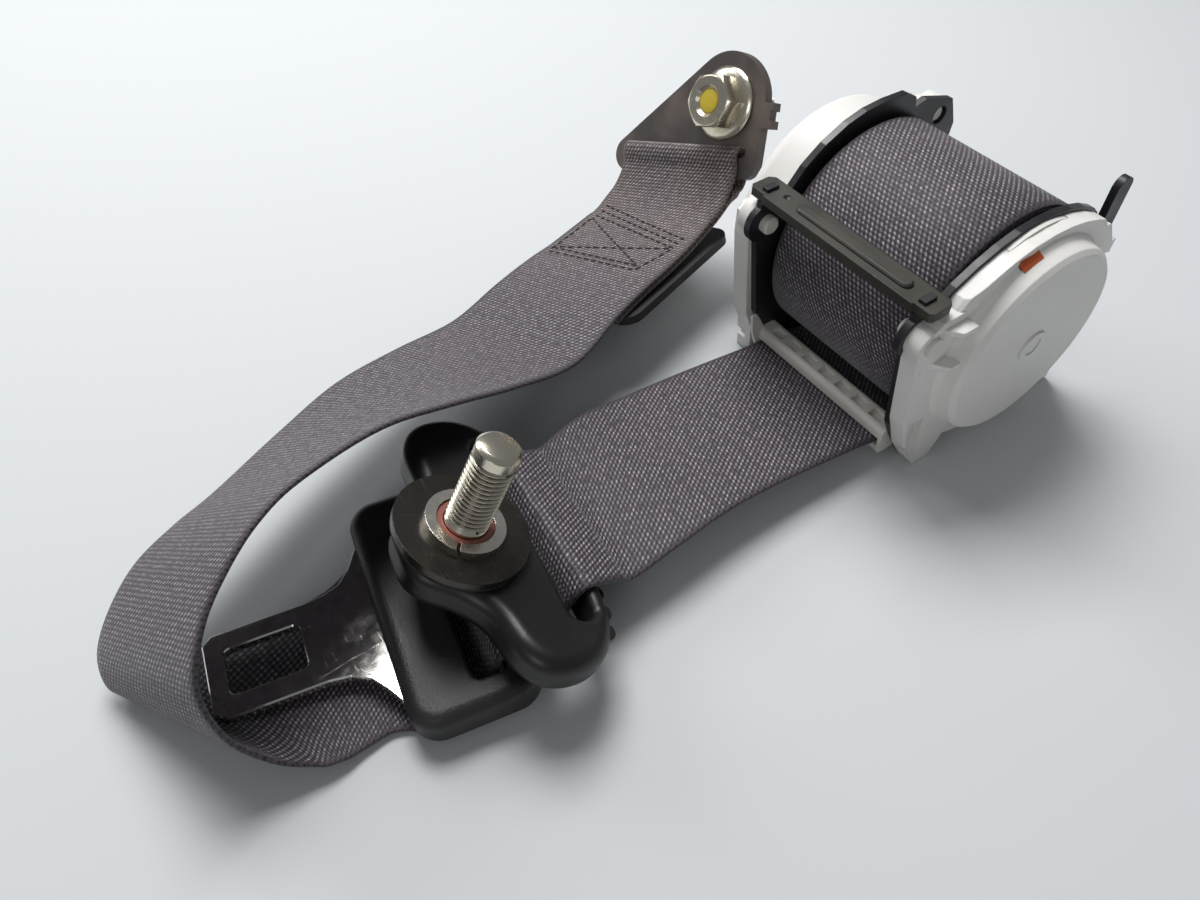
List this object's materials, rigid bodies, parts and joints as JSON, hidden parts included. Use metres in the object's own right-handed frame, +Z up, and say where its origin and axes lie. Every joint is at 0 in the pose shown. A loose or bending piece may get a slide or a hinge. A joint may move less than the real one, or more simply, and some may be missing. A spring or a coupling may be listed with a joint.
{
  "type": "seat belt",
  "caption": "Lap and shoulder seat belt with locking retractor, webbing, latch tongue, shoulder guide ring on its bolt and floor anchor.",
  "frame": {"origin": "underside of the retractor's back plate, straight below the middle of the spool", "axes": "+X along the spool axis towards the spring side, -Y the way the webbing leaves the retractor, +Z up from the surface that the belt lies on"},
  "size_m": [0.1475, 0.2788, 0.0718],
  "materials": {
    "bare_steel": "machined",
    "black_gloss": "smooth black",
    "black_plastic": "fine textured black",
    "black_steel": "satin black coating",
    "chrome": "polished plate with light scratches",
    "dark_steel": "dull dark phosphate",
    "dark_zinc": "dark passivated zinc",
    "pink_plastic": "translucent pink red",
    "rubber": "dull black",
    "webbing": "dark grey woven polyester",
    "white_plastic": "natural white, slightly translucent",
    "zinc": "bright zinc plating"
  },
  "bodies": {
    "belt": {"frame": "black_steel", "tie_bar": "dark_steel", "pawl_pin": "bare_steel", "sensor_housing": "white_plastic", "lock_cover": "white_plastic", "spring_plate": "white_plastic", "spring_cover": "white_plastic", "spiral_spring": "bare_steel", "webbing_guide": "white_plastic", "snap_pegs": "white_plastic", "spool_bushes": "white_plastic", "ring_body": "black_gloss", "ring_plate": "dark_steel", "ring_bush": "white_plastic", "tongue_plate": "chrome", "tongue_handle": "black_plastic", "anchor_plate": "dark_steel", "anchor_base": "black_plastic", "webbing_shoulder": "webbing", "webbing_middle": "webbing", "webbing_lap": "webbing"},
    "spool": {"spool": "bare_steel", "torsion_bar": "bare_steel", "webbing_roll": "webbing", "ratchet_wheel": "bare_steel", "lock_disc": "black_plastic", "spring_arbor": "white_plastic"},
    "pawl": {"lock_pawl": "bare_steel"},
    "sensor_ball": {"sensor_ball": "bare_steel"},
    "sensor_lever": {"sensor_lever": "white_plastic"},
    "pillar_bolt": {"pillar_bolt": "zinc", "damping_washer": "rubber", "large_washer": "dark_zinc", "spring_washer": "zinc", "retaining_ring": "pink_plastic"},
    "anchor_bolt": {"anchor_bolt": "zinc", "anchor_retainer": "black_plastic"}
  },
  "joints": [
    {"name": "spool_turn", "type": "hinge", "parent": "belt", "child": "spool", "pos_m": [0, 0, 0.036], "axis": [1, 0, 0], "continuous": true},
    {"name": "pawl_swing", "type": "hinge", "parent": "belt", "child": "pawl", "pos_m": [-0.0291, 0.01703, 0.0157], "axis": [-1, 0, 0], "range_deg": [0, 7.5]},
    {"name": "ball_roll", "type": "slide", "parent": "belt", "child": "sensor_ball", "axis": [0, -1, 0], "range_m": [0, 0.0015]},
    {"name": "lever_tilt", "type": "hinge", "parent": "belt", "child": "sensor_lever", "pos_m": [-0.0352, 0.0198, 0.0425], "axis": [-1, 0, 0], "range_deg": [0, 14]},
    {"name": "pillar_bolt_turn", "type": "hinge", "parent": "belt", "child": "pillar_bolt", "pos_m": [0.002, -0.1444, 0.0254], "axis": [0.103, 0.4131, 0.9048], "continuous": true},
    {"name": "anchor_bolt_turn", "type": "hinge", "parent": "belt", "child": "anchor_bolt", "pos_m": [-0.07254, -0.00739, 0.05197], "axis": [0.038, -0.903, 0.428], "continuous": true}
  ],
  "couplings": [
    {"joint": "lever_tilt", "follows": "ball_roll", "rad_per_m": 162.9}
  ]
}
